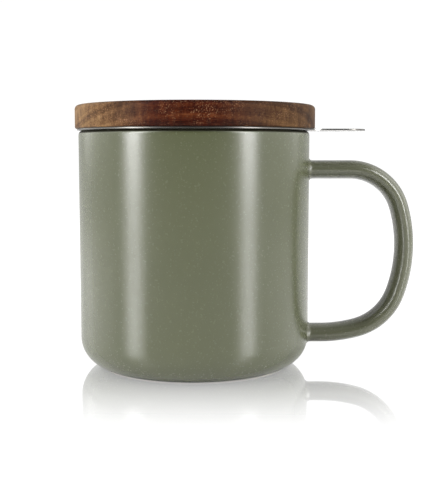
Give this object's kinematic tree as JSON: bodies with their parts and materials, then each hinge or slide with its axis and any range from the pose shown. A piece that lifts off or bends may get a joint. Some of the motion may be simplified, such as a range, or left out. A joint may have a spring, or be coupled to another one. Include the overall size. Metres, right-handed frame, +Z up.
{
  "type": "lidded tea mug with infuser",
  "caption": "Stoneware mug with a side handle, a lift-out perforated steel tea infuser resting on its rim, and a loose wooden lid with a silicone seal.",
  "frame": {"origin": "centre of the mug's foot ring, on the surface that the mug stands on", "axes": "+Z up along the mug's axis, +X towards the handle"},
  "size_m": [0.1329, 0.0934, 0.1017],
  "materials": {
    "glaze": "satin",
    "stainless_steel": "satin",
    "acacia": "satin",
    "silicone": "matte"
  },
  "bodies": {
    "mug": {"mug_body": "glaze", "mug_handle": "glaze"},
    "infuser": {"infuser_rim": "stainless_steel", "infuser_sleeve": "stainless_steel", "infuser_base": "stainless_steel"},
    "lid": {"lid_disc": "acacia", "lid_seal": "silicone"}
  },
  "joints": [
    {"name": "infuser_lift", "type": "slide", "parent": "mug", "child": "infuser", "axis": [0, 0, 1], "range_m": [0, 0.11]},
    {"name": "lid_lift", "type": "slide", "parent": "infuser", "child": "lid", "axis": [0, 0, 1], "range_m": [0, 0.06]}
  ]
}
